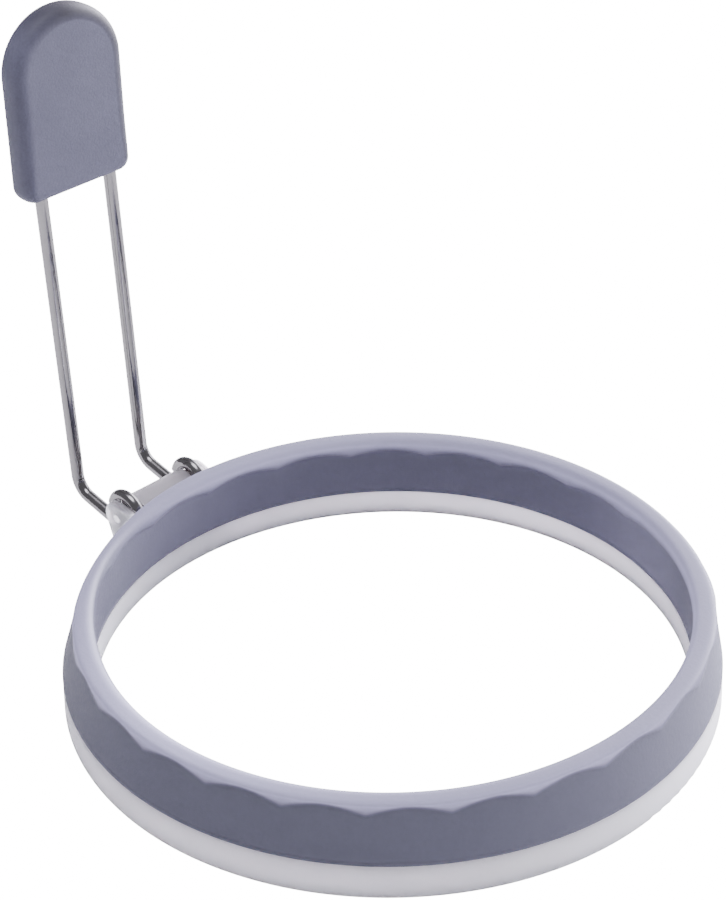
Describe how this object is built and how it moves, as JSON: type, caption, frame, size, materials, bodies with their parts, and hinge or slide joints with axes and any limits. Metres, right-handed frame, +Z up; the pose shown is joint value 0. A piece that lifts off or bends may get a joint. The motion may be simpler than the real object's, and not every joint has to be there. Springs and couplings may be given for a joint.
{
  "type": "egg ring",
  "caption": "Round egg ring with a soft scalloped rim over a pale band, hinged to an upright bent-wire handle with a soft tab grip.",
  "frame": {"origin": "on the axis of the ring, in the plane of the pan it stands on", "axes": "+Z up along the axis of the ring, +Y towards the hinge and handle"},
  "size_m": [0.105, 0.1278, 0.0944],
  "materials": {
    "band": "pale, faintly pink, slightly translucent satin moulding",
    "rim_silicone": "blue-grey matt silicone",
    "wire": "polished bent stainless wire",
    "grip_silicone": "blue-grey matt silicone with a fine grain",
    "pin": "bright turned pin"
  },
  "bodies": {
    "ring": {"ring_frame": "band", "silicone_rim": "rim_silicone", "hinge_pin": "pin"},
    "handle": {"wire_handle": "wire", "handle_grip": "grip_silicone"}
  },
  "joints": [
    {"name": "handle_fold", "type": "hinge", "parent": "ring", "child": "handle", "pos_m": [0, 0.0565, 0.009], "axis": [1, 0, 0], "range_deg": [0, 100]}
  ]
}
